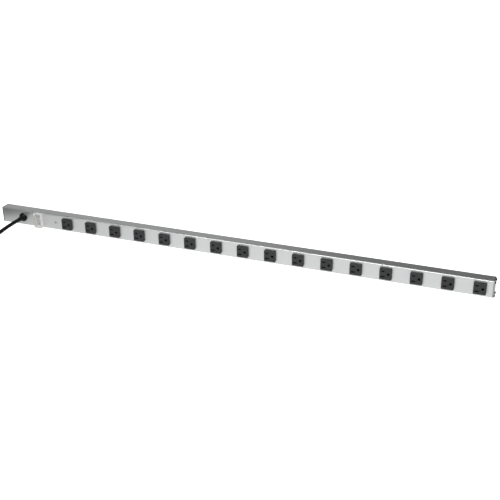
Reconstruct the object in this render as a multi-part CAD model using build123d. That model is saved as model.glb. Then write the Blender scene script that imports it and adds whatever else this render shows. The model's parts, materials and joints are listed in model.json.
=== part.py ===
from build123d import *

import os
from math import pi, radians, tan

# Vertical rack power strip with sixteen grounded outlets, a guarded rocker switch and a pilot lamp.
# Millimetres. X runs along the strip, its face looks towards -Y, and z = 0 is its long lower side.

# Housing: an aluminium channel, open at the back, closed by a sliding rear cover and two end caps
LENGTH = 1219.2
HEIGHT = 39.6
DEPTH = 25.4
WALL = 1.6
FRONT_R = 3.0
REAR_R = 0.8
CAP_T = 3.0
LIP_T = 1.4
LIP_W = 3.0
RIB_T = 1.2
RIB_W = 1.6
COVER_T = 1.5
COVER_GAP = 0.1
COVER_SIDE_GAP = 0.2
GUARD_PROUD = 11.0
FACE_Y = (GUARD_PROUD - DEPTH) / 2
REAR_Y = FACE_Y + DEPTH
MID_Z = HEIGHT / 2
HALF = LENGTH / 2 - CAP_T
COVER_Y = REAR_Y - LIP_T - COVER_GAP - COVER_T

# Screw channels inside the extrusion, which hold the end caps
BOSS_R = 2.6
BOSS_HOLE_R = 1.35
BOSS_Y = (FACE_Y + 4.4, COVER_Y - COVER_GAP - BOSS_R)
BOSS_Z = 4.2
BOSS_NECK = 3.0
CAP_HOLE_R = 1.6
CAP_SCREW_R = 1.3
CAP_SCREW_LENGTH = 12.0
CAP_HEAD_R = 2.8
CAP_HEAD_T = 2.2
CAP_HEAD_EDGE_R = 0.9
CAP_RECESS = (0.9, 3.0)
CAP_RECESS_T = 1.2
SPIGOT_LENGTH = 3.0
SPIGOT_HALF_Z = 11.6
SPIGOT_Y = (FACE_Y + 2.2, FACE_Y + 16.0)

# Rear fixing: two clinch nuts in the rear cover
FIXING_X = 571.5
NUT_R = 4.2
NUT_T = 3.2
NUT_SHANK_R = 2.8
NUT_HOLE_R = 2.1

# Outlets
OUTLETS = 16
PITCH = 66.675
ROW_X = 80.5
OUTLET_W = 27.0
OUTLET_PROUD = 5.8
OUTLET_CORNER_R = 2.0
OUTLET_EDGE_R = 0.6
BODY_W = 24.6
BODY_H = 23.2
BODY_DEPTH = 12.2
CUTOUT_W = 25.0
CUTOUT_H = 24.0
BLADE_X = -5.85
BLADE_Z = 6.35
SLOT_T = 3.0
HOT_SLOT = 6.9
NEUTRAL_SLOT = 8.6
GROUND_X = 6.05
GROUND_HOLE_R = 2.8
POCKET_Y = FACE_Y - 4.6
BLADE_POCKET = (10.0, 6.4)
GROUND_POCKET = (8.0, 7.2)

# Bus bars behind the outlets, with a pair of leaves for each blade and pin
BUS_Y = FACE_Y + BODY_DEPTH + 0.4
BUS_T = 0.8
BUS_W = 4.4
GROUND_BUS_W = 2.8
BUS_LEAD = 20.0
BUS_TAIL = 14.0
LEAF_T = 0.5
LEAF_W = 5.5
LEAF_GAP = 1.6
GROUND_LEAF_GAP = 4.9
GROUND_LEAF_W = 4.0
LEAF_FRONT_Y = FACE_Y + 1.5
INSULATOR_Y = FACE_Y + 16.6
INSULATOR_T = 0.6
INSULATOR_Z = (6.0, HEIGHT - 6.0)
INSULATOR_HOLE_R = 6.0

# Rocker switch
SWITCH_X = -500.7
SWITCH_BODY_W = 15.0
SWITCH_BODY_H = 24.2
SWITCH_DEPTH = 10.5
SWITCH_CUTOUT = (15.4, 24.6)
BEZEL_W = 17.2
BEZEL_H = 27.0
BEZEL_T = 1.6
BEZEL_CORNER_R = 2.0
BEZEL_EDGE_R = 0.5
WELL_W = 11.2
WELL_H = 21.6
WELL_DEPTH = 4.8
ROCKER_W = 10.6
ROCKER_HALF = 9.6
ROCKER_FRONT = 3.4
ROCKER_DISH = 1.0
ROCKER_BACK = 3.0
ROCKER_KEEL = 4.0
ROCKER_TILT = 8.0
ROCKER_EDGE_R = 0.6
AXLE_R = 1.2
AXLE_GAP = 0.05
AXLE_LENGTH = 1.1
TAB_W = 4.8
TAB_T = 0.8
TAB_LENGTH = 5.6
TAB_X = 4.0

# Guard over the switch: a frame clamped under the bezel, and a clear cover hinged at its left edge
GUARD_W = 21.0
GUARD_H = 38.2
GUARD_Z = MID_Z + 0.2
GUARD_WALL = 1.6
GUARD_BASE_T = 1.2
GUARD_WINDOW = (15.6, 24.8)
GUARD_CORNER_R = 4.0
GUARD_INNER_R = 1.5
LID_T = 1.5
LID_GAP = 0.3
HINGE_R = 1.5
HINGE_PIN_R = 0.8
HINGE_GAP = 0.06
KNUCKLE = 5.0
KNUCKLE_GAP = 0.3
HINGE_X = SWITCH_X - GUARD_W / 2 + HINGE_R
HINGE_Y = FACE_Y - GUARD_PROUD + HINGE_R
HINGE_RELIEF = 0.5
TAB_REACH = 2.0
TAB_HEIGHT = 6.0
TAB_DEPTH = 2.6

# Pilot lamp
LAMP_X = -453.5
LAMP_FLANGE_R = 4.3
LAMP_FLANGE_T = 0.9
LAMP_EDGE_R = 0.45
LAMP_BARREL_R = 3.1
LAMP_BARREL_LENGTH = 9.0
LAMP_HOLE_R = 3.2
LENS_R = 2.6
LENS_DOME = 1.6
LENS_DEPTH = 4.0
BULB_R = 1.9
BULB_TIP_R = 0.95

# Strain relief where the supply cord enters
GLAND_X = -548.3
GLAND_Z = MID_Z + 0.9
GLAND_R = 10.8
GLAND_FLANGE = 3.4
GLAND_CHAMFER = 0.9
GLAND_HUB_R = 7.6
GLAND_DOME = 6.0
GLAND_SHANK_R = 6.2
GLAND_HOLE_R = 6.3
GLAND_SHANK = 5.0
GLAND_NUT_R = 8.6
GLAND_NUT_T = 3.0
NOSE_LENGTH = 16.0
NOSE_R = (5.8, 4.8)
NOSE_RIBS = 4
NOSE_GROOVE = 0.5

# Wiring inside
WIRE_R = 1.3
WIRE_BEND_R = 3.0
WIRE_SLOPE = 20.0
WIRE_Y = BUS_Y + BUS_T / 2
STUD_X = -580.0
STUD_Z = 16.4
STUD_R = 2.0
STUD_LENGTH = 11.5
RING_R = 4.0
RING_HOLE_R = 2.1
RING_Y = FACE_Y + 8.4
RING_T = 1.2
STUD_NUT_R = 3.5
STUD_NUT_T = 2.2

# Supply cord: out of the strain relief, down to the floor, into a tied coil and on to its plug
CORD_D = 9.2
BEND_SHARE = 0.45
EXIT_Y = FACE_Y - GLAND_DOME - NOSE_LENGTH
LEAD_ROUTE = [
    (GLAND_X, EXIT_Y, GLAND_Z),
    (-549.8, -68.0, 21.0),
    (-554.0, -107.0, 14.5),
    (-564.5, -139.5, 6.2),
    (-580.0, -159.5, 4.8),
    (-597.7, -171.0, 6.0),
]
TAIL_ROUTE = [
    (-713.5, -117.0, 33.2),
    (-714.2, -93.0, 28.6),
    (-713.4, -70.0, 18.6),
    (-712.8, -50.0, 12.7),
]
COIL_X = -643.0
COIL_Y = -117.0
COIL_R = 61.2
COIL_BASE = 1.1
COIL_PITCH = 9.3
COIL_COLUMNS = 3
COIL_ROWS = 4
COIL_EDGE_R = 4.0
TIE_ANGLE = 20.0
TIE_W = 14.0
TIE_T = 1.0
TIE_SLACK = 1.3

# Plug with two flat blades and a round grounding pin
PLUG_TAPER = 22.0
PLUG_TAPER_R = (5.2, 8.4)
PLUG_W = 24.0
PLUG_H = 25.0
PLUG_LENGTH = 26.0
PLUG_CORNER_R = 6.0
PLUG_EDGE_R = 2.0
PLUG_BLADE_GAP = 12.7
PLUG_BLADE = (1.5, 17.5, 6.3)
PLUG_BLADE_RISE = 4.4
PLUG_PIN_R = 2.4
PLUG_PIN_LENGTH = 20.5
PLUG_PIN_DROP = 7.5


def box(x0, x1, y0, y1, z0, z1):
    """A block between two corners."""
    return Pos((x0 + x1) / 2, (y0 + y1) / 2, (z0 + z1) / 2) * Box(x1 - x0, y1 - y0, z1 - z0)


def block(x, z, width, height, y0, y1):
    """A block centred on (x, z), running in depth from y0 to y1."""
    return box(x - width / 2, x + width / 2, y0, y1, z - height / 2, z + height / 2)


def rod_y(x, z, radius, y0, y1):
    """A round bar along Y."""
    return Pos(x, (y0 + y1) / 2, z) * Rot(90, 0, 0) * Cylinder(radius, y1 - y0)


def rod_x(y, z, radius, x0, x1):
    """A round bar along X."""
    return Pos((x0 + x1) / 2, y, z) * Rot(0, 90, 0) * Cylinder(radius, x1 - x0)


def rod_z(x, y, radius, z0, z1):
    """A round bar along Z."""
    return Pos(x, y, (z0 + z1) / 2) * Cylinder(radius, z1 - z0)


def rounded_block(x, z, width, height, y0, y1, radius):
    """A block whose four edges along Y are rounded."""
    body = block(x, z, width, height, y0, y1)
    return fillet(body.edges().filter_by(Axis.Y), radius)


def outline():
    """Cross-section of the strip in the YZ plane, with rounded front edges."""
    shape = Pos((FACE_Y + REAR_Y) / 2, MID_Z) * Rectangle(DEPTH, HEIGHT)
    shape = fillet(shape.vertices().group_by(Axis.X)[0], FRONT_R)
    return fillet(shape.vertices().group_by(Axis.X)[-1], REAR_R)


def section_box(y0, y1, z0, z1):
    """A rectangle of the cross-section."""
    return Pos((y0 + y1) / 2, (z0 + z1) / 2) * Rectangle(y1 - y0, z1 - z0)


def both_sides(z):
    """A height above the lower side and its mirror image below the upper side."""
    return z, HEIGHT - z


def boss_places():
    """Centre (y, z) of each screw channel, one in each corner of the section."""
    return [(y, z) for y in BOSS_Y for z in both_sides(BOSS_Z)]


def outlet_x(index):
    """Centre of an outlet along the strip."""
    return ROW_X + (index - (OUTLETS - 1) / 2) * PITCH


def housing():
    """The extruded channel with its screw channels, cover grooves and face cut-outs."""
    lip_y = REAR_Y - LIP_T
    section = outline() - section_box(FACE_Y + WALL, lip_y, WALL, HEIGHT - WALL)
    section -= section_box(lip_y, REAR_Y, WALL + LIP_W, HEIGHT - WALL - LIP_W)
    rib_y = COVER_Y - COVER_GAP
    section += section_box(rib_y - RIB_T, rib_y, WALL / 2, WALL + RIB_W)
    section += section_box(rib_y - RIB_T, rib_y, HEIGHT - WALL - RIB_W, HEIGHT - WALL / 2)
    for y, z in boss_places():
        wall_z = WALL / 2 if z < MID_Z else HEIGHT - WALL / 2
        section += Pos(y, z) * Circle(BOSS_R)
        section += Pos(y, (z + wall_z) / 2) * Rectangle(BOSS_NECK, abs(z - wall_z))
    for y, z in boss_places():
        section -= Pos(y, z) * Circle(BOSS_HOLE_R)
    body = extrude(Plane.YZ.offset(-HALF) * section, 2 * HALF)
    inside_y = FACE_Y + WALL
    for index in range(OUTLETS):
        body -= block(outlet_x(index), MID_Z, CUTOUT_W, CUTOUT_H, FACE_Y, inside_y)
    body -= block(SWITCH_X, MID_Z, *SWITCH_CUTOUT, FACE_Y, inside_y)
    body -= rod_y(LAMP_X, MID_Z, LAMP_HOLE_R, FACE_Y, inside_y)
    body -= rod_y(GLAND_X, GLAND_Z, GLAND_HOLE_R, FACE_Y, inside_y)
    return body


def rear_cover():
    """The plate that slides into the grooves behind the wiring."""
    z0 = WALL + COVER_SIDE_GAP
    plate = box(-HALF, HALF, COVER_Y, COVER_Y + COVER_T, z0, HEIGHT - z0)
    for x in (-FIXING_X, FIXING_X):
        plate -= rod_y(x, MID_Z, NUT_SHANK_R, COVER_Y, COVER_Y + COVER_T)
    return plate


def mounting_nuts():
    """Clinch nuts flush with the back of the rear cover."""
    nuts = []
    for x in (-FIXING_X, FIXING_X):
        nut = rod_y(x, MID_Z, NUT_R, COVER_Y - NUT_T, COVER_Y)
        nut += rod_y(x, MID_Z, NUT_SHANK_R, COVER_Y, COVER_Y + COVER_T)
        nuts.append(nut - rod_y(x, MID_Z, NUT_HOLE_R, COVER_Y - NUT_T, COVER_Y + COVER_T))
    return Compound(children=nuts)


def end_cap(side):
    """A cap with the strip's outline and a spigot that locates it in the channel."""
    start = side * HALF
    plate = extrude(Plane.YZ.offset(start) * outline(), side * CAP_T)
    ends = sorted((start, start - side * SPIGOT_LENGTH))
    plate += box(*ends, *SPIGOT_Y, MID_Z - SPIGOT_HALF_Z, MID_Z + SPIGOT_HALF_Z)
    for y, z in boss_places():
        plate -= rod_x(y, z, CAP_HOLE_R, *sorted((start, start + side * CAP_T)))
    return plate


def cap_screw(side, y, z):
    """A pan-head screw through an end cap into a screw channel."""
    seat = side * (HALF + CAP_T)
    head = rod_x(y, z, CAP_HEAD_R, *sorted((seat, seat + side * CAP_HEAD_T)))
    rim = head.edges().filter_by(GeomType.CIRCLE).sort_by(Axis.X)[-1 if side > 0 else 0]
    head = fillet(rim, CAP_HEAD_EDGE_R)
    shank = rod_x(y, z, CAP_SCREW_R, *sorted((seat, seat - side * CAP_SCREW_LENGTH)))
    top = seat + side * CAP_HEAD_T
    width, reach = CAP_RECESS
    middle = Pos(top - side * CAP_RECESS_T / 2, y, z)
    cross = middle * (Box(CAP_RECESS_T, width, reach) + Box(CAP_RECESS_T, reach, width))
    return head + shank - cross


def end_cap_screws():
    """Four screws in each end cap."""
    return Compound(children=[cap_screw(side, y, z) for side in (-1, 1) for y, z in boss_places()])


def outlet(index):
    """One moulded outlet: a square face with two blade slots and a D-shaped ground hole."""
    x = outlet_x(index)
    front = FACE_Y - OUTLET_PROUD
    face = rounded_block(x, MID_Z, OUTLET_W, OUTLET_W, front, FACE_Y, OUTLET_CORNER_R)
    face = fillet(face.faces().sort_by(Axis.Y)[0].edges(), OUTLET_EDGE_R)
    back = FACE_Y + BODY_DEPTH
    body = face + block(x, MID_Z, BODY_W, BODY_H, FACE_Y, back)
    for z, length in ((MID_Z + BLADE_Z, HOT_SLOT), (MID_Z - BLADE_Z, NEUTRAL_SLOT)):
        body -= block(x + BLADE_X, z, length, SLOT_T, front, back)
        body -= block(x + BLADE_X, z, *BLADE_POCKET, POCKET_Y, back)
    ground = rod_y(x + GROUND_X, MID_Z, GROUND_HOLE_R, front, back)
    ground += block(x + GROUND_X + GROUND_HOLE_R / 2, MID_Z, GROUND_HOLE_R, 2 * GROUND_HOLE_R, front, back)
    body -= ground
    return body - block(x + GROUND_X, MID_Z, *GROUND_POCKET, POCKET_Y, back)


def bus_bar(z, width, leaves):
    """A flat bar behind every outlet; leaves gives the leaf blocks for one outlet's centre."""
    x0 = outlet_x(0) - BUS_LEAD
    x1 = outlet_x(OUTLETS - 1) + BUS_TAIL
    bar = box(x0, x1, BUS_Y, BUS_Y + BUS_T, z - width / 2, z + width / 2)
    for index in range(OUTLETS):
        for leaf in leaves(outlet_x(index)):
            bar += leaf
    return bar


def blade_leaves(z):
    """The two leaves that grip a flat blade."""
    offset = (LEAF_GAP + LEAF_T) / 2
    return lambda x: [
        block(x + BLADE_X, z + side * offset, LEAF_W, LEAF_T, LEAF_FRONT_Y, BUS_Y) for side in (-1, 1)
    ]


def ground_leaves(x):
    """The two leaves that grip the grounding pin."""
    offset = (GROUND_LEAF_GAP + LEAF_T) / 2
    return [
        block(x + GROUND_X + side * offset, MID_Z, LEAF_T, GROUND_LEAF_W, LEAF_FRONT_Y, BUS_Y)
        for side in (-1, 1)
    ]


def bus_insulator():
    """The insulating sheet between the bus bars and the rear cover."""
    x0 = outlet_x(0) - BUS_LEAD
    x1 = outlet_x(OUTLETS - 1) + BUS_TAIL
    sheet = box(x0, x1, INSULATOR_Y, INSULATOR_Y + INSULATOR_T, *INSULATOR_Z)
    return sheet - rod_y(FIXING_X, MID_Z, INSULATOR_HOLE_R, INSULATOR_Y, INSULATOR_Y + INSULATOR_T)


def bezel_front():
    """The front of the switch's bezel, which sits on the guard's base."""
    return FACE_Y - GUARD_BASE_T - BEZEL_T


def pivot_y():
    """Depth of the rocker's axle."""
    return bezel_front() + ROCKER_FRONT - ROCKER_DISH / 2


def switch_body():
    """The switch's case, with a well for the rocker and a hole for its axle."""
    seat = FACE_Y - GUARD_BASE_T
    bezel = rounded_block(SWITCH_X, MID_Z, BEZEL_W, BEZEL_H, bezel_front(), seat, BEZEL_CORNER_R)
    bezel = fillet(bezel.faces().sort_by(Axis.Y)[0].edges(), BEZEL_EDGE_R)
    body = bezel + block(SWITCH_X, MID_Z, SWITCH_BODY_W, SWITCH_BODY_H, seat, FACE_Y + SWITCH_DEPTH)
    body -= block(SWITCH_X, MID_Z, WELL_W, WELL_H, bezel_front(), pivot_y() + WELL_DEPTH)
    reach = ROCKER_W / 2 + AXLE_LENGTH + KNUCKLE_GAP
    return body - rod_x(pivot_y(), MID_Z, AXLE_R + AXLE_GAP, SWITCH_X - reach, SWITCH_X + reach)


def switch_rocker():
    """The dished rocker, tilted to one of its two rest positions."""
    front = ROCKER_FRONT
    profile = Polyline(
        (-front, -ROCKER_HALF),
        (ROCKER_DISH - front, 0),
        (-front, ROCKER_HALF),
        (0, ROCKER_HALF),
        (ROCKER_BACK, ROCKER_KEEL),
        (ROCKER_BACK, -ROCKER_KEEL),
        (0, -ROCKER_HALF),
        close=True,
    )
    body = extrude(Plane.YZ.offset(-ROCKER_W / 2) * make_face(profile), ROCKER_W)
    body = fillet(body.edges().filter_by(Axis.X).sort_by(Axis.Y)[0:2], ROCKER_EDGE_R)
    reach = ROCKER_W / 2 + AXLE_LENGTH
    body += rod_x(0, 0, AXLE_R, -reach, reach)
    return Pos(SWITCH_X, pivot_y(), MID_Z) * Rot(-ROCKER_TILT, 0, 0) * body


def switch_terminals():
    """Four push-on tabs behind the switch, two for each pole."""
    back = FACE_Y + SWITCH_DEPTH
    tabs = [
        block(SWITCH_X + x, MID_Z + z, TAB_W, TAB_T, back, back + TAB_LENGTH)
        for x in (-TAB_X, TAB_X)
        for z in (-BLADE_Z, BLADE_Z)
    ]
    return Compound(children=tabs)


def switch_guard():
    """The guard's frame: a base under the bezel, four walls, and a hinge knuckle at each end of one."""
    z0, z1 = GUARD_Z - GUARD_H / 2, GUARD_Z + GUARD_H / 2
    front = FACE_Y - GUARD_PROUD + LID_T + LID_GAP
    inner = GUARD_WALL * 2
    frame = rounded_block(SWITCH_X, GUARD_Z, GUARD_W, GUARD_H, front, FACE_Y, GUARD_CORNER_R)
    floor = FACE_Y - GUARD_BASE_T
    frame -= rounded_block(SWITCH_X, GUARD_Z, GUARD_W - inner, GUARD_H - inner, front, floor, GUARD_INNER_R)
    frame -= block(SWITCH_X, MID_Z, *GUARD_WINDOW, floor, FACE_Y)
    relief = HINGE_R + HINGE_RELIEF
    left = SWITCH_X - GUARD_W / 2
    frame -= box(left, HINGE_X + relief, front, HINGE_Y + relief, z0, z1)
    for base, tip in ((z0 + KNUCKLE, z0), (z1 - KNUCKLE, z1)):
        ends = sorted((base, tip))
        knuckle = rod_z(HINGE_X, HINGE_Y, HINGE_R, *ends)
        knuckle += box(left, HINGE_X + HINGE_R / 2, HINGE_Y, HINGE_Y + relief + GUARD_WALL, *ends)
        frame += knuckle
    return frame - rod_z(HINGE_X, HINGE_Y, HINGE_PIN_R, z0 + GUARD_WALL / 2, z1 - GUARD_WALL / 2)


def guard_cover():
    """The clear cover, with its hinge barrel and the tab that lifts it."""
    z0, z1 = GUARD_Z - GUARD_H / 2, GUARD_Z + GUARD_H / 2
    front = FACE_Y - GUARD_PROUD
    right = SWITCH_X + GUARD_W / 2
    barrel_z0, barrel_z1 = z0 + KNUCKLE + KNUCKLE_GAP, z1 - KNUCKLE - KNUCKLE_GAP
    plate_x = HINGE_X + HINGE_R + HINGE_RELIEF
    plate = box(plate_x, right, front, front + LID_T, z0, z1)
    plate = fillet(plate.edges().filter_by(Axis.Y).sort_by(Axis.X)[-2:], GUARD_CORNER_R)
    plate += box(HINGE_X, plate_x, front, front + LID_T, barrel_z0, barrel_z1)
    plate += rod_z(HINGE_X, HINGE_Y, HINGE_R, barrel_z0, barrel_z1)
    heights = (MID_Z, MID_Z + TAB_HEIGHT)
    grip = box(right - GUARD_WALL, right + TAB_REACH, front, front + TAB_DEPTH, *heights)
    grip -= box(right - GUARD_WALL, right + LID_GAP, front + LID_T, front + TAB_DEPTH, *heights)
    plate += grip
    return plate - rod_z(HINGE_X, HINGE_Y, HINGE_PIN_R + HINGE_GAP, barrel_z0, barrel_z1)


def guard_hinge_pin():
    """The pin through the frame's knuckles and the cover's barrel."""
    z0, z1 = GUARD_Z - GUARD_H / 2, GUARD_Z + GUARD_H / 2
    return rod_z(HINGE_X, HINGE_Y, HINGE_PIN_R, z0 + GUARD_WALL / 2, z1 - GUARD_WALL / 2)


def pilot_bezel():
    """The lamp's flange and the barrel behind it."""
    front = FACE_Y - LAMP_FLANGE_T
    ring = rod_y(LAMP_X, MID_Z, LAMP_FLANGE_R, front, FACE_Y)
    ring = fillet(ring.faces().sort_by(Axis.Y)[0].edges(), LAMP_EDGE_R)
    ring += rod_y(LAMP_X, MID_Z, LAMP_BARREL_R, FACE_Y, FACE_Y + LAMP_BARREL_LENGTH)
    return ring - rod_y(LAMP_X, MID_Z, LENS_R, front, FACE_Y + LAMP_BARREL_LENGTH)


def pilot_lens():
    """The domed lens that fills the front of the barrel."""
    front = FACE_Y - LAMP_FLANGE_T - LENS_DOME / 2
    lens = rod_y(LAMP_X, MID_Z, LENS_R, front, FACE_Y + LENS_DEPTH)
    return fillet(lens.faces().sort_by(Axis.Y)[0].edges(), LENS_DOME)


def pilot_bulb():
    """The neon bulb behind the lens."""
    y0 = FACE_Y + LENS_DEPTH + LAMP_FLANGE_T / 2
    bulb = rod_y(LAMP_X, MID_Z, BULB_R, y0, FACE_Y + LAMP_BARREL_LENGTH)
    return fillet(bulb.faces().sort_by(Axis.Y)[0].edges(), BULB_TIP_R)


def strain_relief():
    """A round flange, a hub on it, and a tapered, ribbed nose around the cord."""
    tip = GLAND_DOME + NOSE_LENGTH
    step = NOSE_LENGTH / (2 * NOSE_RIBS)
    points = [(0, -GLAND_SHANK), (GLAND_SHANK_R, -GLAND_SHANK), (GLAND_SHANK_R, 0), (GLAND_R, 0)]
    points += [(GLAND_R, GLAND_FLANGE - GLAND_CHAMFER), (GLAND_R - GLAND_CHAMFER, GLAND_FLANGE)]
    points += [(GLAND_HUB_R, GLAND_FLANGE), (GLAND_HUB_R, GLAND_DOME - GLAND_CHAMFER)]
    points += [(GLAND_HUB_R - GLAND_CHAMFER, GLAND_DOME)]
    for rib in range(NOSE_RIBS):
        for part in (0, 1):
            along = (2 * rib + part) * step
            radius = NOSE_R[0] + (NOSE_R[1] - NOSE_R[0]) * along / NOSE_LENGTH
            depth = NOSE_GROOVE if part == 0 else 0
            points += [(radius - depth, GLAND_DOME + along), (radius - depth, GLAND_DOME + along + step)]
    points += [(0, tip)]
    profile = make_face(Polyline(*points, close=True))
    body = revolve(Plane.XY * profile, Axis.Y)
    return Pos(GLAND_X, FACE_Y, GLAND_Z) * Rot(180, 0, 0) * body


def strain_relief_nut():
    """The nut that holds the strain relief from inside."""
    y0 = FACE_Y + WALL
    nut = Plane.XZ.offset(-y0) * Pos(GLAND_X, GLAND_Z) * RegularPolygon(GLAND_NUT_R, 6)
    body = extrude(nut, -GLAND_NUT_T)
    return body - rod_y(GLAND_X, GLAND_Z, GLAND_SHANK_R, y0, y0 + GLAND_NUT_T)


def wire(points):
    """A round insulated wire along straight runs joined by arcs."""
    path = FilletPolyline(*points, radius=WIRE_BEND_R)
    start = path ^ 0
    return sweep(start * Circle(WIRE_R), path=path)


def pole_lead(z_start, z):
    """One pole's wires: cord to switch, and switch to bus bar."""
    y0 = FACE_Y + GLAND_SHANK
    reach = TAB_X + TAB_W / 2
    first = wire([
        (GLAND_X, y0, z_start),
        (GLAND_X, WIRE_Y, z_start),
        (GLAND_X + WIRE_SLOPE, WIRE_Y, z),
        (SWITCH_X - reach, WIRE_Y, z),
    ])
    second = rod_x(WIRE_Y, z, WIRE_R, SWITCH_X + reach, outlet_x(0) - BUS_LEAD)
    return Compound(children=[first, second])


def ground_lead():
    """The earth wires from the cord and from the ground bus, joined at a ring on the earth stud."""
    wire_y = RING_Y + RING_T / 2
    low_z = STUD_Z - RING_R + WIRE_R
    high_z = STUD_Z + RING_R - WIRE_R
    earth_x = GLAND_X - GLAND_SHANK_R + 2 * WIRE_R
    ring = rod_y(STUD_X, STUD_Z, RING_R, RING_Y, RING_Y + RING_T)
    tongue_end = STUD_X + 2 * RING_R
    ring += box(STUD_X, tongue_end, RING_Y, RING_Y + RING_T, STUD_Z - RING_R, STUD_Z + RING_R)
    lead = ring + wire([
        (earth_x, FACE_Y + GLAND_SHANK, GLAND_Z),
        (earth_x, wire_y, GLAND_Z),
        (tongue_end + RING_R, wire_y, high_z),
        (tongue_end - RING_R / 2, wire_y, high_z),
    ])
    bus_end = outlet_x(0) - BUS_LEAD
    lead += wire([
        (tongue_end - RING_R / 2, wire_y, low_z),
        (GLAND_X + GLAND_NUT_R, wire_y, low_z),
        (SWITCH_X - SWITCH_BODY_W / 2 - RING_R, WIRE_Y, MID_Z),
        (bus_end, WIRE_Y, MID_Z),
    ])
    return lead - rod_y(STUD_X, STUD_Z, RING_HOLE_R, RING_Y, RING_Y + RING_T)


def ground_stud():
    """The earth stud welded inside the face."""
    return rod_y(STUD_X, STUD_Z, STUD_R, FACE_Y + WALL, FACE_Y + WALL + STUD_LENGTH)


def ground_nut():
    """The nut that clamps the ring to the earth stud."""
    y0 = RING_Y + RING_T
    nut = Plane.XZ.offset(-y0) * Pos(STUD_X, STUD_Z) * RegularPolygon(STUD_NUT_R, 6)
    return extrude(nut, -STUD_NUT_T) - rod_y(STUD_X, STUD_Z, STUD_R, y0, y0 + STUD_NUT_T)


def bend_radii(points):
    """The largest arc that each corner's two runs leave room for."""
    radii = []
    for before, corner, after in zip(points, points[1:], points[2:]):
        first, second = Vector(*corner) - Vector(*before), Vector(*after) - Vector(*corner)
        turn = radians(first.get_angle(second))
        radii.append(BEND_SHARE * min(first.length, second.length) / tan(turn / 2))
    return radii


def cord_tube(name, points):
    """A stretch of cord along straight runs joined by tangent arcs."""
    radii = bend_radii(points)
    path = FilletPolyline(*points, radius=radii)
    tube = sweep((path ^ 0) * Circle(CORD_D / 2), path=path)
    expected = path.length * pi * CORD_D**2 / 4
    print(name, "radii", [round(radius, 1) for radius in radii], "length", round(path.length, 1))
    print(name, "volume over section times length", round(tube.volume / expected, 4))
    return tube


def coil_size():
    """Inner radius, outer radius and height of the wound coil."""
    half = COIL_COLUMNS * COIL_PITCH / 2
    return COIL_R - half, COIL_R + half, COIL_ROWS * COIL_PITCH


def cord_coil():
    """The outer shape of the coil."""
    inner, outer, height = coil_size()
    section = Pos((inner + outer) / 2, COIL_BASE + height / 2) * Rectangle(outer - inner, height)
    section = fillet(section.vertices(), COIL_EDGE_R)
    return Pos(COIL_X, COIL_Y, 0) * revolve(Plane.XZ * section, Axis.Z)


def coil_tie():
    """The strap around the coil's bundle."""
    inner, outer, height = coil_size()
    width = outer - inner + TIE_SLACK
    band = Box(width + 2 * TIE_T, TIE_W, height + 2 * TIE_T)
    band = fillet(band.edges().filter_by(Axis.Y), COIL_EDGE_R + TIE_T)
    hollow = Box(width, TIE_W, height)
    hollow = fillet(hollow.edges().filter_by(Axis.Y), COIL_EDGE_R)
    strap = Pos(COIL_R, 0, COIL_BASE + height / 2) * (band - hollow)
    return Pos(COIL_X, COIL_Y, 0) * Rot(0, 0, TIE_ANGLE) * strap


def plug_body():
    """The moulded plug with its tapered strain relief."""
    x, y0, z = TAIL_ROUTE[-1]
    y1 = y0 + PLUG_TAPER
    taper = Pos(x, (y0 + y1) / 2, z) * Rot(-90, 0, 0) * Cone(PLUG_TAPER_R[0], PLUG_TAPER_R[1], PLUG_TAPER)
    body = rounded_block(x, z, PLUG_W, PLUG_H, y1, y1 + PLUG_LENGTH, PLUG_CORNER_R)
    body = fillet(body.faces().sort_by(Axis.Y)[0].edges(), PLUG_EDGE_R)
    return taper + body


def plug_front():
    """The plane of the plug's front face."""
    return TAIL_ROUTE[-1][1] + PLUG_TAPER + PLUG_LENGTH


def plug_blades():
    """The two flat blades."""
    x, _, z = TAIL_ROUTE[-1]
    thickness, length, width = PLUG_BLADE
    blades = []
    for side in (-1, 1):
        centre = x + side * PLUG_BLADE_GAP / 2
        tip = plug_front() + length
        blades.append(block(centre, z + PLUG_BLADE_RISE, thickness, width, plug_front(), tip))
    return Compound(children=blades)


def plug_ground_pin():
    """The round grounding pin."""
    x, _, z = TAIL_ROUTE[-1]
    pin = rod_y(x, z - PLUG_PIN_DROP, PLUG_PIN_R, plug_front(), plug_front() + PLUG_PIN_LENGTH)
    return fillet(pin.faces().sort_by(Axis.Y)[-1].edges(), PLUG_PIN_R / 2)


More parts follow.
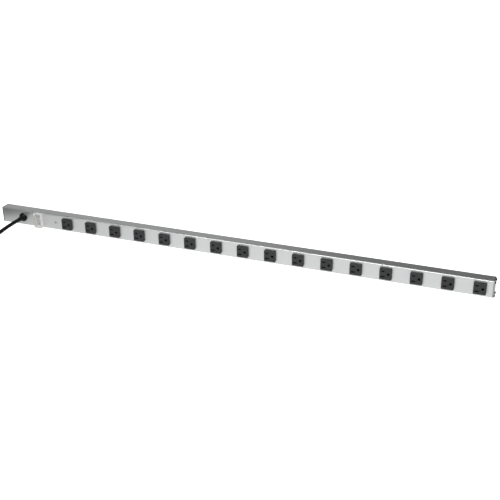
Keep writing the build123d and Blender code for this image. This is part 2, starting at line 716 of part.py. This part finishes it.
def parts():
    """Every node by name."""
    nodes = {
        "housing": housing(),
        "rear_cover": rear_cover(),
        "mounting_nuts": mounting_nuts(),
        "end_cap_left": end_cap(-1),
        "end_cap_right": end_cap(1),
        "end_cap_screws": end_cap_screws(),
        "hot_bus": bus_bar(MID_Z + BLADE_Z, BUS_W, blade_leaves(MID_Z + BLADE_Z)),
        "neutral_bus": bus_bar(MID_Z - BLADE_Z, BUS_W, blade_leaves(MID_Z - BLADE_Z)),
        "ground_bus": bus_bar(MID_Z, GROUND_BUS_W, ground_leaves),
        "bus_insulator": bus_insulator(),
        "switch_body": switch_body(),
        "switch_rocker": switch_rocker(),
        "switch_terminals": switch_terminals(),
        "switch_guard": switch_guard(),
        "guard_cover": guard_cover(),
        "guard_hinge_pin": guard_hinge_pin(),
        "pilot_bezel": pilot_bezel(),
        "pilot_lens": pilot_lens(),
        "pilot_bulb": pilot_bulb(),
        "strain_relief": strain_relief(),
        "strain_relief_nut": strain_relief_nut(),
        "hot_lead": pole_lead(GLAND_Z + 2 * WIRE_R, MID_Z + BLADE_Z),
        "neutral_lead": pole_lead(GLAND_Z - WIRE_R, MID_Z - BLADE_Z),
        "ground_lead": ground_lead(),
        "ground_stud": ground_stud(),
        "ground_nut": ground_nut(),
        "supply_cord": cord_tube("supply_cord", LEAD_ROUTE),
        "cord_coil": cord_coil(),
        "coil_tie": coil_tie(),
        "cord_tail": cord_tube("cord_tail", TAIL_ROUTE),
        "plug_body": plug_body(),
        "plug_blades": plug_blades(),
        "plug_ground_pin": plug_ground_pin(),
    }
    for index in range(OUTLETS):
        nodes[f"outlet_{index + 1:02d}"] = outlet(index)
    return nodes


os.makedirs("parts", exist_ok=True)
for node, shape in parts().items():
    export_step(shape, f"parts/{node}.step")
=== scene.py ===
import json
from math import cos, exp, pi, radians, sin, tau

import bpy
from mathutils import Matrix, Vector


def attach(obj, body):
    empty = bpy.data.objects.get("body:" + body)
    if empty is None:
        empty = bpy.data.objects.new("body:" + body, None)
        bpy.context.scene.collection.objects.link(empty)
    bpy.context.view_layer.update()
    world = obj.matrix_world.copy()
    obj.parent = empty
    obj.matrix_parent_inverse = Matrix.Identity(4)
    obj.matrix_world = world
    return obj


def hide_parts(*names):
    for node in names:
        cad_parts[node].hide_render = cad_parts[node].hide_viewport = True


# Rack power strip: materials, cord, tie, plug, floor, light and camera around the CAD frame. Metres.

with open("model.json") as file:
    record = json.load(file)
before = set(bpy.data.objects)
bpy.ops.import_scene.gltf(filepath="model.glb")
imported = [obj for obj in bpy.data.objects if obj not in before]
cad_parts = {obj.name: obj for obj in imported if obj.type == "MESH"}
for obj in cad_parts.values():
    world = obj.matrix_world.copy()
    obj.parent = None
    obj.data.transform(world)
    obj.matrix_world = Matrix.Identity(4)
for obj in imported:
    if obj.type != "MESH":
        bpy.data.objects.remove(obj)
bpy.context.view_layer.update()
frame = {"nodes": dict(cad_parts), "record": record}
MM = 0.001

# Camera
CAMERA_PLACE = (0.7282, -1.69095, 0.8605)
CAMERA_TURN = (65.235, 0.586, 21.243)
CAMERA_LENS = 62.8
SENSOR = 36.0

# Floor, seen by the camera only. A glowing plane under it, hidden from the camera, lights the face. BOUNCE is
# how strongly it glows at each of the two places BOUNCE_X along X
WHITE = (1, 1, 1, 1)
FLOOR_Z = -0.0002
FLOOR_REACH = 12.0
FLOOR_COLOUR = (0.93, 0.93, 0.93, 1)
FLOOR_GLOW = 1.0
STAGE_ROUGHNESS = 0.9
BOUNCE_Z = -0.0004
BOUNCE_COLOUR = (0.2, 0.2, 0.2, 1)
BOUNCE = (0.50, 0.86)
BOUNCE_X = (-0.75, -0.10)

# Light: the world's strength, then the name, place, target, size and power of each soft box
WORLD_LIGHT = 0.10
LIGHTS = [
    ("soft_box_front", (0.1, -1.5, 1.6), (-0.1, 0.0, 0.0), (2.6, 0.8), 46.0),
    ("soft_box_left", (-2.4, 2.8, 1.5), (-0.2, 0.0, 0.0), (3.4, 2.0), 10.0),
]

# Supply cord: its route's control points, with the coil's turns between the two lists
CORD_D = 9.2 * MM
CORD_BEVEL_STEPS = 7
CORD_STEPS = 6
LEAD_ROUTE = [
    (-0.5483, -0.0292, 0.0207),
    (-0.5498, -0.0680, 0.0210),
    (-0.5540, -0.1070, 0.0145),
    (-0.5645, -0.1395, 0.0062),
    (-0.5800, -0.1595, 0.0048),
    (-0.5977, -0.1710, 0.0060),
]
TAIL_ROUTE = [
    (-0.7135, -0.1170, 0.0332),
    (-0.7142, -0.0930, 0.0286),
    (-0.7134, -0.0700, 0.0186),
    (-0.7128, -0.0500, 0.0127),
]
COIL_CENTRE = (-0.643, -0.117)
COIL_R = 61.2 * MM
COIL_PITCH = 9.3 * MM
COIL_COLUMNS = 3
COIL_ROWS = 4
COIL_START = -50.0
COIL_TURNS = 11.361
POINTS_PER_TURN = 24
CHANGE_PART = 60 / 360
CLIMB_BULGE = 3.1 * MM

# Strap round the coil
TIE_ANGLE = 20.0
TIE_W = 14 * MM
TIE_T = 1.0 * MM
TIE_GAP = 0.1 * MM
TIE_SLACK = 0.65 * MM
TIE_CORNER = 5.2 * MM
LIFT_SPREAD = 35.0
TIE_START = 18.5 * MM
TIE_OVERLAP = 24 * MM
TIE_RAMP = 9 * MM
TIE_STEPS = 150
TIE_ACROSS = 6
TIE_EDGE = 0.25
TIE_SHARP = 60
TIE_HALF_W = COIL_COLUMNS * COIL_PITCH / 2 + TIE_SLACK
TIE_HALF_H = COIL_ROWS * COIL_PITCH / 2

# Plug: the tail's end, the taper with its ribs, and the moulded body. A rib's section has its part of the rib
# and whether it is cut in. The body's section has its part of the length, its size and its squareness
PLUG_X, PLUG_Y, PLUG_Z = TAIL_ROUTE[-1]
PLUG_AROUND = 64
TAPER = 22 * MM
TAPER_R = (5.2 * MM, 8.4 * MM)
TAPER_RIBS = 5
RIB_DEPTH = 0.8 * MM
PLUG_HALF = (12 * MM, 12.5 * MM)
PLUG_LENGTH = 26 * MM
PLUG_SHARP = 32
ROUND = 2.0
RIB_SECTIONS = [(0, 0), (0.55, 0), (0.6, 1), (0.95, 1)]
BODY_SECTIONS = [
    (0.0, 0.71, 2.0),
    (0.04, 0.84, 2.2),
    (0.10, 0.94, 2.7),
    (0.18, 0.99, 3.3),
    (0.26, 1.0, 3.9),
    (0.34, 1.0, 4.2),
    (0.37, 0.95, 4.2),
    (0.43, 0.95, 4.2),
    (0.46, 1.0, 4.2),
    (0.49, 0.95, 4.2),
    (0.55, 0.95, 4.2),
    (0.58, 1.0, 4.3),
    (0.61, 0.95, 4.3),
    (0.67, 0.95, 4.3),
    (0.70, 1.0, 4.4),
    (0.955, 1.0, 4.6),
    (0.985, 0.985, 4.6),
    (1.0, 0.95, 4.6),
]

# Patterns of the finishes: scale, detail and roughness of each noise, and how far each one reaches
BROAD_NOISE = (14.0, 3.0)
GRIME_NOISE = (420.0, 5.0, 0.7)
GRIME_REACH = 0.03
STREAK_DETAIL = 3.0
GRAIN_DETAIL = (2.0, 0.5)
GRAIN_DARK = 0.5
FLOW_NOISE = (60.0, 4.0)
WEAR_NOISE = (260.0, 5.0, 0.7)
WEAVE_SCALE = 420.0
WEAVE_LIGHT = 2.2
WEAVE_DEPTH = 0.15 * MM
WEAVE_SHEEN = 0.5
NAP_NOISE = (1800.0, 5.0, 0.7)
NAP_DARK = 0.6
NAP_ROUGHNESS = (0.75, 0.95)
HAIR_STRETCH = (0.3, 1, 1)
HAIR_NOISE = (900.0, 6.0, 0.75)
HAIR_LIGHT = 1.25
HAIR_ROUGHNESS = (0.8, 0.95)
HAIR_DEPTH = 0.03 * MM
BLOTCH_NOISE = (90.0, 3.0)
BLOTCH_DARK = 0.3
BEVEL_SAMPLES = 4

# Sockets of the Mix node that hold colours: its factor, its two colours and its result
MIX_INPUTS = (0, 6, 7)
MIX_RESULT = 2


def make_camera():
    """The camera, at the viewing angle of the photograph."""
    data = bpy.data.cameras.new("camera")
    data.lens = CAMERA_LENS
    data.sensor_width = SENSOR
    camera = bpy.data.objects.new("camera", data)
    camera.location = CAMERA_PLACE
    camera.rotation_euler = [radians(angle) for angle in CAMERA_TURN]
    bpy.context.scene.collection.objects.link(camera)
    bpy.context.scene.camera = camera


def add_object(name, data):
    """A new object in the scene."""
    piece = bpy.data.objects.new(name, data)
    bpy.context.scene.collection.objects.link(piece)
    return piece


def smooth(part):
    """A part of a change, from 0 to 1, eased at both ends."""
    return part * part * (3 - 2 * part)


def serpentine():
    """The row and column of each turn of the coil: column 0 is the outer one."""
    places = []
    for row in range(COIL_ROWS):
        columns = list(range(COIL_COLUMNS))
        places += [(row, column) for column in (columns if row % 2 == 0 else columns[::-1])]
    return places


def tie_lift(angle):
    """How far the strap under the turns lifts them off the floor."""
    away = (angle - TIE_ANGLE + 180) % 360 - 180
    return (TIE_T + TIE_GAP) * exp(-(away / LIFT_SPREAD) ** 2)


def coil_points():
    """Control points of the wound turns, which change column and row over one short stretch of each turn."""
    places = serpentine()
    steps = round(COIL_TURNS * POINTS_PER_TURN)
    widen = 1 / cos(pi / POINTS_PER_TURN)
    points = []
    for step in range(1, steps):
        turns = COIL_TURNS * step / steps
        index = int(turns)
        row, column = places[index]
        part = max(0.0, (turns - index - 1 + CHANGE_PART) / CHANGE_PART)
        ease = smooth(part)
        bulge = 0.0
        if part > 0:
            next_row, next_column = places[index + 1]
            if next_row != row:
                bulge = CLIMB_BULGE * sin(pi * ease) * (1 if column == 0 else -1)
            row += (next_row - row) * ease
            column += (next_column - column) * ease
        angle = COIL_START - 360 * turns
        middle = (COIL_COLUMNS - 1) / 2
        radius = (COIL_R + (middle - column) * COIL_PITCH + bulge) * widen
        z = CORD_D / 2 + row * COIL_PITCH + tie_lift(angle)
        x = COIL_CENTRE[0] + radius * cos(radians(angle))
        y = COIL_CENTRE[1] + radius * sin(radians(angle))
        points.append((x, y, z))
    return points


def supply_cord():
    """The whole cord as one open NURBS spline."""
    curve = bpy.data.curves.new("cord", "CURVE")
    curve.dimensions = "3D"
    curve.bevel_depth = CORD_D / 2
    curve.bevel_resolution = CORD_BEVEL_STEPS
    curve.resolution_u = CORD_STEPS
    curve.use_fill_caps = True
    points = LEAD_ROUTE + coil_points() + TAIL_ROUTE
    spline = curve.splines.new("NURBS")
    spline.points.add(len(points) - 1)
    for point, spot in zip(spline.points, points):
        point.co = (*spot, 1)
    spline.order_u = 3
    spline.use_endpoint_u = True
    return add_object("cord", curve)


def set_uv(mesh, values):
    """Gives each vertex's (u, v), in metres, to the mesh's corners."""
    layer = mesh.uv_layers.new(name="length_and_width")
    for loop in mesh.loops:
        layer.data[loop.index].uv = values[loop.vertex_index]


def finish_mesh(name, vertices, faces, sharp):
    """A mesh object with smooth faces and sharp edges where they turn."""
    mesh = bpy.data.meshes.new(name)
    mesh.from_pydata(vertices, [], faces)
    mesh.validate()
    for polygon in mesh.polygons:
        polygon.use_smooth = True
    mesh.set_sharp_from_angle(angle=radians(sharp))
    return add_object(name, mesh)


def bridge(rings, count):
    """Quads between rings of count points each."""
    faces = []
    for ring in range(rings - 1):
        start, after = ring * count, (ring + 1) * count
        for i in range(count):
            j = (i + 1) % count
            faces.append((start + i, start + j, after + j, after + i))
    return faces


def tie_outline(along):
    """A point of the strap's loop, in its own plane, and the way out: along is the distance from the middle
    of the top."""
    half_w, half_h, corner = TIE_HALF_W, TIE_HALF_H, TIE_CORNER
    top, side, arc = half_w - corner, 2 * (half_h - corner), pi / 2 * corner
    spans = [top, arc, side, arc, 2 * top, arc, side, arc, top]
    starts = [(0, half_h), (top, half_h - corner), (half_w, half_h - corner), (top, corner - half_h)]
    starts += [(top, -half_h), (-top, corner - half_h), (-half_w, corner - half_h), (-top, half_h - corner)]
    starts += [(-top, half_h)]
    turn = 0.0
    for number, (span, (a, b)) in enumerate(zip(spans, starts)):
        if along > span and number < len(spans) - 1:
            along -= span
            turn += 90.0 if number % 2 else 0.0
            continue
        if number % 2:
            angle = radians(90.0 - turn - 90.0 * along / span)
            return a + corner * cos(angle), b + corner * sin(angle), cos(angle), sin(angle)
        angle = radians(-turn)
        out = radians(90.0 - turn)
        return a + along * cos(angle), b + along * sin(angle), cos(out), sin(out)


def loop_length():
    """Length round the strap's loop."""
    return 4 * (TIE_HALF_W - TIE_CORNER) + 4 * (TIE_HALF_H - TIE_CORNER) + tau * TIE_CORNER


def coil_tie():
    """The strap: one lap round the bundle, then its free end on top of itself."""
    length = loop_length()
    middle_z = TIE_HALF_H + TIE_T + TIE_GAP
    turn = radians(TIE_ANGLE)
    out, side = (cos(turn), sin(turn)), (-sin(turn), cos(turn))
    across = [TIE_W * (i / TIE_ACROSS - 0.5) for i in range(TIE_ACROSS + 1)]
    rim = [TIE_EDGE] + [0.0] * (TIE_ACROSS - 1) + [TIE_EDGE]
    vertices, uvs = [], []
    for step in range(TIE_STEPS + 1):
        along = (length + TIE_OVERLAP) * step / TIE_STEPS
        rise = min(max((along - length + TIE_RAMP) / TIE_RAMP, 0), 1)
        lift = TIE_T * smooth(rise)
        a, b, na, nb = tie_outline((TIE_START + along) % length)
        ring = [(w, lift + TIE_T * e) for w, e in zip(across, rim)]
        ring += [(w, lift + TIE_T * (1 - e)) for w, e in zip(across[::-1], rim)]
        for w, depth in ring:
            radial = COIL_R + a + na * depth
            x = COIL_CENTRE[0] + radial * out[0] + w * side[0]
            y = COIL_CENTRE[1] + radial * out[1] + w * side[1]
            vertices.append((x, y, middle_z + b + nb * depth))
            uvs.append((along, w))
    count = 2 * (TIE_ACROSS + 1)
    faces = bridge(TIE_STEPS + 1, count)
    faces += [tuple(range(count))[::-1], tuple(TIE_STEPS * count + i for i in range(count))]
    strap = finish_mesh("hook_and_loop_strap", vertices, faces, TIE_SHARP)
    set_uv(strap.data, uvs)
    return strap


def plug_sections():
    """The plug's sections from its tail to its face: distance, half width, half height and squareness."""
    sections = []
    rib = TAPER / TAPER_RIBS
    for number in range(TAPER_RIBS):
        for part, groove in RIB_SECTIONS:
            along = (number + part) * rib
            radius = TAPER_R[0] + (TAPER_R[1] - TAPER_R[0]) * along / TAPER - groove * RIB_DEPTH
            sections.append((along, radius, radius, ROUND))
    half_w, half_h = PLUG_HALF
    for part, size, square in BODY_SECTIONS:
        sections.append((TAPER + part * PLUG_LENGTH, half_w * size, half_h * size, square))
    return sections


def plug():
    """The moulded plug round the cord's end, lofted through its sections."""
    vertices = []
    sections = plug_sections()
    for along, half_w, half_h, square in sections:
        for i in range(PLUG_AROUND):
            angle = tau * i / PLUG_AROUND
            c, s = cos(angle), sin(angle)
            reach = (abs(c) ** square + abs(s) ** square) ** (-1 / square)
            vertices.append((PLUG_X + half_w * reach * c, PLUG_Y + along, PLUG_Z + half_h * reach * s))
    faces = bridge(len(sections), PLUG_AROUND)
    last = (len(sections) - 1) * PLUG_AROUND
    faces += [tuple(range(PLUG_AROUND)), tuple(last + i for i in range(PLUG_AROUND))[::-1]]
    faces = [face[::-1] for face in faces]
    return finish_mesh("moulded_plug", vertices, faces, PLUG_SHARP)


def add(tree, kind, settings=None, **inputs):
    """A shader node with its settings and inputs; an input is a value or another node's socket."""
    made = tree.nodes.new(kind)
    for name, value in (settings or {}).items():
        setattr(made, name, value)
    for name, value in inputs.items():
        socket = made.inputs[name.replace("_", " ")]
        if isinstance(value, bpy.types.NodeSocket):
            tree.links.new(value, socket)
        else:
            socket.default_value = value
    return made


def new_material(name, **sockets):
    """A material with its Principled shader's own sockets set."""
    material = bpy.data.materials.new(name)
    material.use_nodes = True
    shader = material.node_tree.nodes["Principled BSDF"]
    for socket, value in sockets.items():
        shader.inputs[socket.replace("_", " ")].default_value = value
    return material, material.node_tree, shader


def noise(tree, vector, scale, detail=4.0, roughness=0.55):
    """A noise pattern's factor."""
    made = add(tree, "ShaderNodeTexNoise", Vector=vector, Scale=scale, Detail=detail, Roughness=roughness)
    return made.outputs["Fac"]


def place(tree, stretch=(1, 1, 1), source="Object"):
    """Coordinates on the piece, stretched."""
    socket = add(tree, "ShaderNodeTexCoord").outputs[source]
    return add(tree, "ShaderNodeMapping", Vector=socket, Scale=stretch).outputs["Vector"]


def spread(tree, value, low, high, start=0.3, end=0.7):
    """A pattern's range mapped to low and high."""
    limits = {"From Min": start, "From Max": end, "To Min": low, "To Max": high}
    made = add(tree, "ShaderNodeMapRange", Value=value)
    for name, limit in limits.items():
        made.inputs[name].default_value = limit
    return made.outputs["Result"]


def blend_colour(tree, factor, first, second, mode="MIX"):
    """Two colours mixed by a pattern."""
    made = add(tree, "ShaderNodeMix", {"data_type": "RGBA", "blend_type": mode})
    for number, value in zip(MIX_INPUTS, (factor, first, second)):
        socket = made.inputs[number]
        if isinstance(value, bpy.types.NodeSocket):
            tree.links.new(value, socket)
        else:
            socket.default_value = value if isinstance(value, float) else (*value, 1)
    return made.outputs[MIX_RESULT]


def relief(tree, shader, height, distance, round_edges=0.0):
    """Bump from a pattern, on edges rounded by round_edges metres."""
    bump = add(tree, "ShaderNodeBump", Height=height, Distance=distance, Strength=1.0)
    if round_edges:
        soft = add(tree, "ShaderNodeBevel", {"samples": BEVEL_SAMPLES}, Radius=round_edges)
        tree.links.new(soft.outputs["Normal"], bump.inputs["Normal"])
    tree.links.new(bump.outputs["Normal"], shader.inputs["Normal"])


def metal(name, colour, roughness, lines=(1, 1, 1), line_scale=900.0, depth=0.01 * MM, metallic=1.0,
          vary=0.06, soft=0.2 * MM, **sockets):
    """Drawn or rolled metal: fine lines, broad tone and a satin that varies."""
    material, tree, shader = new_material(name, Metallic=metallic, **sockets)
    streaks = noise(tree, place(tree, lines), line_scale, STREAK_DETAIL)
    broad = noise(tree, place(tree), *BROAD_NOISE)
    grime = noise(tree, place(tree), *GRIME_NOISE)
    dark = tuple(channel * (1 - vary) for channel in colour)
    light = tuple(min(channel * (1 + vary), 1.0) for channel in colour)
    tone = blend_colour(tree, spread(tree, streaks, 0.0, 1.0), dark, light)
    shade = (1 - vary / 2,) * 3
    shaded = blend_colour(tree, 1.0, tone, shade, "MULTIPLY")
    tone = blend_colour(tree, spread(tree, broad, 0.0, 1.0), tone, shaded)
    tree.links.new(tone, shader.inputs["Base Color"])
    mixed = add(tree, "ShaderNodeMath", {"operation": "ADD"})
    tree.links.new(spread(tree, streaks, roughness[0], roughness[1]), mixed.inputs[0])
    tree.links.new(spread(tree, grime, -GRIME_REACH, GRIME_REACH), mixed.inputs[1])
    tree.links.new(mixed.outputs[0], shader.inputs["Roughness"])
    relief(tree, shader, streaks, depth, soft)
    return material


def plastic(name, colour, roughness, grain=2600.0, depth=0.02 * MM, vary=0.08, soft=0.25 * MM, **sockets):
    """Moulded plastic: a spark-eroded grain, slight flow tone and handling gloss."""
    material, tree, shader = new_material(name, **sockets)
    fine = noise(tree, place(tree), grain, *GRAIN_DETAIL)
    flow = noise(tree, place(tree), *FLOW_NOISE)
    wear = noise(tree, place(tree), *WEAR_NOISE)
    dark = tuple(channel * (1 - vary) for channel in colour)
    light = tuple(min(channel * (1 + vary), 1.0) for channel in colour)
    tone = blend_colour(tree, spread(tree, flow, 0.0, 1.0), dark, light)
    tone = blend_colour(tree, spread(tree, fine, 0.0, GRAIN_DARK), tone, dark)
    tree.links.new(tone, shader.inputs["Base Color"])
    tree.links.new(spread(tree, wear, roughness[0], roughness[1]), shader.inputs["Roughness"])
    relief(tree, shader, fine, depth, soft)
    return material


def bands(tree, direction):
    """The strap's threads in one direction."""
    vector = place(tree, source="UV")
    return add(tree, "ShaderNodeTexWave", {"bands_direction": direction}, Vector=vector, Scale=WEAVE_SCALE)


def woven(name, colour):
    """Hook-and-loop strap: ribs of weave along and across, with a napped face."""
    material, tree, shader = new_material(name, Sheen_Weight=WEAVE_SHEEN, Sheen_Roughness=WEAVE_SHEEN)
    across = bands(tree, "X")
    along = bands(tree, "Y")
    weave = add(tree, "ShaderNodeMath", {"operation": "MULTIPLY"})
    tree.links.new(across.outputs["Fac"], weave.inputs[0])
    tree.links.new(along.outputs["Fac"], weave.inputs[1])
    nap = noise(tree, place(tree), *NAP_NOISE)
    height = add(tree, "ShaderNodeMath", {"operation": "ADD"})
    tree.links.new(weave.outputs[0], height.inputs[0])
    tree.links.new(nap, height.inputs[1])
    light = tuple(channel * WEAVE_LIGHT for channel in colour)
    tone = blend_colour(tree, spread(tree, weave.outputs[0], 0.0, 1.0, 0.0, 1.0), colour, light)
    tone = blend_colour(tree, spread(tree, nap, 0.0, NAP_DARK), tone, colour)
    tree.links.new(tone, shader.inputs["Base Color"])
    tree.links.new(spread(tree, nap, *NAP_ROUGHNESS), shader.inputs["Roughness"])
    relief(tree, shader, height.outputs[0], WEAVE_DEPTH)
    return material


def fibre(name, colour):
    """Vulcanised fibre sheet: short matted fibres."""
    material, tree, shader = new_material(name)
    hairs = noise(tree, place(tree, HAIR_STRETCH), *HAIR_NOISE)
    blotch = noise(tree, place(tree), *BLOTCH_NOISE)
    light = tuple(channel * HAIR_LIGHT for channel in colour)
    tone = blend_colour(tree, spread(tree, hairs, 0.0, 1.0), colour, light)
    tone = blend_colour(tree, spread(tree, blotch, 0.0, BLOTCH_DARK), tone, colour)
    tree.links.new(tone, shader.inputs["Base Color"])
    tree.links.new(spread(tree, hairs, *HAIR_ROUGHNESS), shader.inputs["Roughness"])
    relief(tree, shader, hairs, HAIR_DEPTH)
    return material


def make_materials():
    """Every finish by its slot's name."""
    extruded = (0.012, 1, 1)
    return {
        "strip_aluminium": metal("anodised_extrusion", (0.66, 0.67, 0.67), (0.38, 0.46), extruded,
                                 metallic=0.85, vary=0.025),
        "cover_steel": metal("satin_cover", (0.60, 0.61, 0.61), (0.42, 0.52), (1, 1, 1), 700.0, metallic=0.3),
        "zinc_steel": metal("zinc_plate", (0.66, 0.66, 0.62), (0.28, 0.42), (1, 1, 1), 300.0),
        # The end cap's aluminium is darkened to 0.36 against the strip's 0.66: painted shade for its end
        # face, which faces away from the light
        "cap_aluminium": metal("cap_painted_shade", (0.36, 0.36, 0.36), (0.4, 0.5), (1, 1, 0.05), 800.0,
                               metallic=0.85, soft=0.5 * MM),
        "dark_screw": metal("black_oxide", (0.02, 0.02, 0.022), (0.35, 0.5), (1, 1, 1), 600.0),
        "bus_brass": metal("strip_brass", (0.80, 0.60, 0.28), (0.22, 0.36), extruded),
        "blade_brass": metal("plated_blades", (0.78, 0.70, 0.50), (0.18, 0.30), (1, 0.05, 1), 900.0),
        "fibre_sheet": fibre("fibre_sheet", (0.20, 0.17, 0.14)),
        "outlet_plastic": plastic("outlet_charcoal", (0.024, 0.024, 0.026), (0.45, 0.58),
                                  Specular_IOR_Level=0.4),
        "switch_case": plastic("switch_case", (0.52, 0.52, 0.51), (0.45, 0.55)),
        "rocker_plastic": plastic("rocker_satin", (0.40, 0.395, 0.38), (0.3, 0.42)),
        "guard_plastic": plastic("guard_frame", (0.88, 0.88, 0.87), (0.3, 0.42), vary=0.03),
        "clear_cover": plastic("clear_cover", (0.80, 0.79, 0.77), (0.16, 0.24), vary=0.02, depth=0.002 * MM,
                               Alpha=0.14, IOR=1.49),
        "lamp_bezel": plastic("lamp_bezel", (0.45, 0.47, 0.45), (0.3, 0.4), vary=0.04),
        "lamp_lens": plastic("lamp_lens", (0.62, 0.74, 0.62), (0.12, 0.2), depth=0.004 * MM, vary=0.05,
                             Transmission_Weight=0.55, IOR=1.49),
        "lamp_bulb": plastic("bulb_glass", (0.9, 0.85, 0.8), (0.03, 0.08), depth=0.002 * MM, vary=0.02,
                             Transmission_Weight=0.9, IOR=1.5),
        "black_nylon": plastic("black_nylon", (0.004, 0.004, 0.0045), (0.22, 0.34), vary=0.15,
                               Specular_IOR_Level=0.3),
        "wire_black": plastic("wire_black", (0.015, 0.015, 0.016), (0.3, 0.4)),
        "wire_white": plastic("wire_white", (0.75, 0.75, 0.72), (0.3, 0.4)),
        "wire_green": plastic("wire_green", (0.03, 0.26, 0.07), (0.3, 0.4)),
        "cord_jacket": plastic("cord_jacket", (0.006, 0.006, 0.0065), (0.36, 0.5), 1500.0, 0.03 * MM, 0.2,
                               Specular_IOR_Level=0.3),
        "tie_fabric": woven("hook_and_loop", (0.012, 0.012, 0.013)),
        "plug_vinyl": plastic("plug_vinyl", (0.015, 0.015, 0.016), (0.40, 0.55), 1900.0, 0.03 * MM, 0.15),
    }


def paint(piece, material):
    """Gives a piece one material, in the slots that it has."""
    if not piece.material_slots:
        piece.data.materials.append(material)
    for slot in piece.material_slots:
        slot.material = material


def flat_plane(name, z, walls=False):
    """A wide level plane at a height, with walls round it where asked."""
    mesh = bpy.data.meshes.new(name)
    corners = [(-1, -1), (1, -1), (1, 1), (-1, 1)]
    points = [(x * FLOOR_REACH, y * FLOOR_REACH, z) for x, y in corners]
    faces = [(0, 1, 2, 3)]
    if walls:
        points += [(x, y, FLOOR_REACH) for x, y, _ in points]
        faces += [(i, (i + 1) % 4, (i + 1) % 4 + 4, i + 4) for i in range(4)]
    mesh.from_pydata(points, [], faces)
    return add_object(name, mesh)


def make_floor():
    """A plain pale floor and backdrop for the camera, and under it the glowing plane that lights the face."""
    floor = flat_plane("floor", FLOOR_Z, walls=True)
    paint(floor, new_material("floor", Base_Color=FLOOR_COLOUR, Roughness=STAGE_ROUGHNESS,
                              Emission_Color=WHITE, Emission_Strength=FLOOR_GLOW)[0])
    floor.visible_glossy = False
    floor.visible_diffuse = False
    floor.visible_shadow = False
    floor.visible_transmission = False
    bounce = flat_plane("bounce", BOUNCE_Z)
    material, tree, shader = new_material("bounce", Base_Color=BOUNCE_COLOUR, Roughness=STAGE_ROUGHNESS,
                                          Emission_Color=WHITE)
    along = add(tree, "ShaderNodeSeparateXYZ", Vector=place(tree)).outputs["X"]
    tree.links.new(spread(tree, along, *BOUNCE, *BOUNCE_X), shader.inputs["Emission Strength"])
    paint(bounce, material)
    bounce.visible_camera = False


def area_light(name, spot, target, size, power):
    """A soft box at a place, turned to a target."""
    data = bpy.data.lights.new(name, "AREA")
    data.shape = "RECTANGLE"
    data.size, data.size_y = size
    data.energy = power
    light = add_object(name, data)
    light.location = spot
    light.rotation_euler = (Vector(target) - Vector(spot)).to_track_quat("-Z", "Y").to_euler()


def make_light():
    """Soft studio light: a weak pale surround, a soft box above the front and one behind on the left."""
    world = bpy.data.worlds.new("studio")
    world.use_nodes = True
    background = world.node_tree.nodes["Background"]
    background.inputs["Color"].default_value = WHITE
    background.inputs["Strength"].default_value = WORLD_LIGHT
    bpy.context.scene.world = world
    for light in LIGHTS:
        area_light(*light)
    bpy.context.scene.view_settings.view_transform = "Standard"


make_camera()
make_floor()
make_light()
materials = make_materials()
for part in frame["record"]["subparts"]:
    paint(frame["nodes"][part["node"]], materials[part["material_slot"]])

cord = supply_cord()
strap = coil_tie()
plug_shell = plug()
pieces = [
    (cord, "cord_jacket", ("supply_cord", "cord_coil", "cord_tail")),
    (strap, "tie_fabric", ("coil_tie",)),
    (plug_shell, "plug_vinyl", ("plug_body",)),
]
for piece, slot, nodes in pieces:
    paint(piece, materials[slot])
    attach(piece, "strip")
    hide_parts(*nodes)
